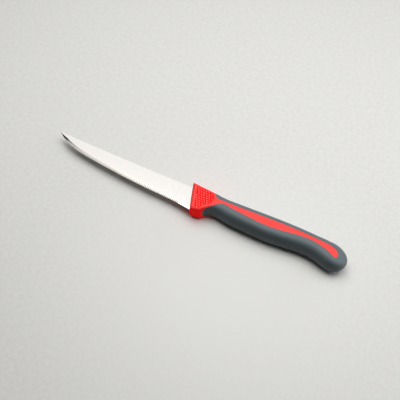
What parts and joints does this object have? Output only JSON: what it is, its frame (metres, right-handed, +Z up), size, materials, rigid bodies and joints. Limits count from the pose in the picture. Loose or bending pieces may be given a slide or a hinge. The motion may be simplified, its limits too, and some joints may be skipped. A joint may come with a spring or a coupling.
{
  "type": "vegetable knife",
  "caption": "Vegetable knife with a slim, finely toothed steel blade, a bolster with a dotted thumb pad, and a red handle wrapped in a soft grey grip with a finger notch.",
  "frame": {"origin": "on the surface that the knife lies on, under the middle of its outline", "axes": "+X from the tip to the butt, +Y from the cutting edge to the spine, +Z up through the knife's thickness as it lies on its side"},
  "size_m": [0.2346, 0.0214, 0.0145],
  "materials": {
    "steel": "finely ground and polished",
    "red_plastic": "satin moulded",
    "grey_rubber": "matt, soft to the touch"
  },
  "bodies": {
    "root": {"blade": "steel", "handle_core": "red_plastic", "soft_grip": "grey_rubber"}
  },
  "joints": []
}
